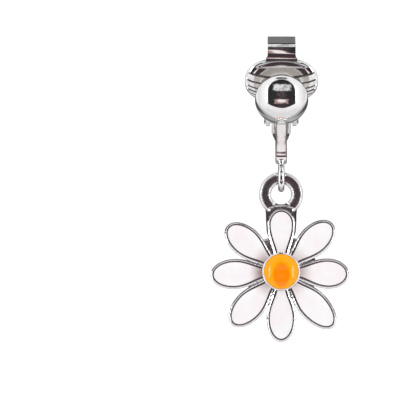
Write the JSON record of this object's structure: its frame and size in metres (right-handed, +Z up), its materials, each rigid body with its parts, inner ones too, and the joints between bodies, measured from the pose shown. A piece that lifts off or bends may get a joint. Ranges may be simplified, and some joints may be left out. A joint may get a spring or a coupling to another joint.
{
  "type": "clip on drop earring",
  "caption": "Clip on earring: a half ball and a ribbed, sprung paddle clamp the ear lobe, and an enamelled daisy swings from the loop below.",
  "frame": {"origin": "the middle of the clamp, between the half ball's back plate and the closed pad, where the ear lobe sits", "axes": "+X to the viewer's right, -Y towards the viewer on the half ball's side, +Z up, with the daisy hanging plumb along -Z"},
  "size_m": [0.0159, 0.0073, 0.035],
  "materials": {
    "plated_metal": "bright silver-coloured plating, mirror polished",
    "cast_metal": "bright plated zinc casting, slightly rippled",
    "white_enamel": "glossy white enamel with a faint pink cast",
    "orange_enamel": "glossy orange enamel, domed"
  },
  "bodies": {
    "clip": {"clip_bracket": "plated_metal", "hinge_pin": "plated_metal"},
    "paddle": {"clip_paddle": "plated_metal"},
    "drop": {"daisy_frame": "cast_metal", "petal_enamel_1": "white_enamel", "petal_enamel_2": "white_enamel", "petal_enamel_3": "white_enamel", "petal_enamel_4": "white_enamel", "petal_enamel_5": "white_enamel", "petal_enamel_6": "white_enamel", "petal_enamel_7": "white_enamel", "petal_enamel_8": "white_enamel", "centre_enamel": "orange_enamel"}
  },
  "joints": [
    {"name": "paddle_hinge", "type": "hinge", "parent": "clip", "child": "paddle", "pos_m": [0, 0.00195, -0.00253], "axis": [-1, 0, 0], "range_deg": [0, 80], "stiffness_Nm_per_rad": 0.0005, "springref_deg": -34.38},
    {"name": "drop_swing", "type": "hinge", "parent": "clip", "child": "drop", "pos_m": [0, 0.00236, -0.01035], "axis": [0, 1, 0], "range_deg": [-50, 50]}
  ]
}
